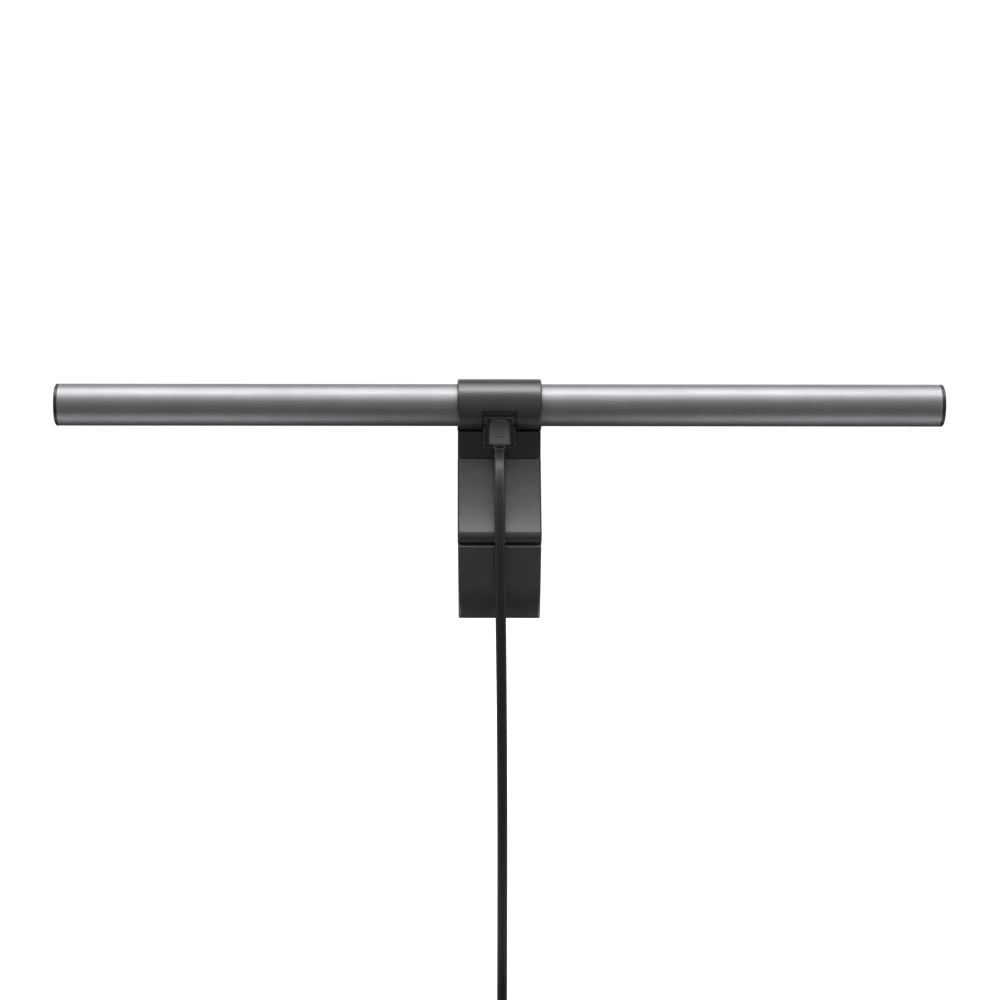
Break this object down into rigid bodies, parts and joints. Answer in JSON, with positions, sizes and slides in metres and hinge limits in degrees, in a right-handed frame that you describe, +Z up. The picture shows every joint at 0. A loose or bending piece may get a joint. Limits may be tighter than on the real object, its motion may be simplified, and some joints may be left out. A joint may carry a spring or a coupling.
{
  "type": "monitor light bar",
  "caption": "Slim tubular LED light bar with a clip that stands on a monitor's top edge, a weighted rear arm, a tilting lamp tube and a flat USB cable.",
  "frame": {"origin": "middle of the seat pad's lower face, where the clip rests on the monitor's top edge", "axes": "+X along the lamp tube, +Y towards the person in front of the monitor, +Z up"},
  "size_m": [0.45, 0.1003, 0.3733],
  "materials": {
    "anodised_aluminium": "fine bead-blasted grey anodising",
    "grey_plastic": "fine moulded texture, dark grey",
    "black_plastic": "satin black",
    "glossy_black": "polished black",
    "frosted_lens": "frosted opal",
    "clear_window": "smoked clear",
    "circuit_board": "white solder mask",
    "led_package": "phosphor yellow",
    "white_plastic": "white reflector",
    "flex_film": "amber film",
    "component_plastic": "black epoxy",
    "bearing_plastic": "self-coloured acetal",
    "screw_steel": "black zinc",
    "pin_steel": "ground steel",
    "weight_steel": "sawn steel block",
    "connector_metal": "bright nickel plate",
    "soft_pad": "soft black silicone",
    "plug_plastic": "moulded soft plastic",
    "cord_jacket": "flat ribbed black jacket",
    "tie_fabric": "black hook-and-loop strap"
  },
  "bodies": {
    "clip": {"sleeve": "grey_plastic", "tilt_bush_right": "bearing_plastic", "tilt_bush_left": "bearing_plastic", "touch_panel": "glossy_black", "touch_film": "flex_film", "light_sensor_window": "clear_window", "clip_base": "black_plastic", "port_frame": "grey_plastic", "port_surround": "black_plastic", "usb_port": "connector_metal", "port_board": "circuit_board", "front_hook": "grey_plastic", "hook_screws": "screw_steel", "seat_pad": "soft_pad", "lip_pad": "soft_pad", "hinge_pin": "pin_steel", "hinge_washers": "bearing_plastic", "plug_body": "plug_plastic", "plug_tip": "connector_metal", "power_cord": "cord_jacket", "cord_coil": "cord_jacket", "cord_tie": "tie_fabric", "cord_end": "cord_jacket", "charger_plug_body": "plug_plastic", "charger_plug_tip": "connector_metal"},
    "lamp": {"tube_housing": "anodised_aluminium", "end_cap_right": "black_plastic", "end_cap_left": "black_plastic", "cap_screws": "screw_steel", "diffuser_right": "frosted_lens", "diffuser_left": "frosted_lens", "led_board_right": "circuit_board", "led_board_left": "circuit_board", "leds_right": "led_package", "leds_left": "led_package", "reflector_right": "white_plastic", "reflector_left": "white_plastic", "bridge_lead": "flex_film", "driver_board": "circuit_board", "driver_parts": "component_plastic", "retaining_collar_right": "bearing_plastic", "retaining_collar_left": "bearing_plastic"},
    "arm": {"arm_shell": "grey_plastic", "arm_inner_cover": "grey_plastic", "arm_ribs": "grey_plastic", "knuckle_bushes": "bearing_plastic", "weight_case": "grey_plastic", "weight_cover": "grey_plastic", "case_screws": "screw_steel", "counterweight": "weight_steel", "rear_pad": "soft_pad"}
  },
  "joints": [
    {"name": "lamp_tilt", "type": "hinge", "parent": "clip", "child": "lamp", "pos_m": [0, -0.0079, 0.0275], "axis": [1, 0, 0], "range_deg": [-12.5, 12.5]},
    {"name": "arm_swing", "type": "hinge", "parent": "clip", "child": "arm", "pos_m": [0, -0.0049, 0.0075], "axis": [1, 0, 0], "range_deg": [0, 18]}
  ]
}
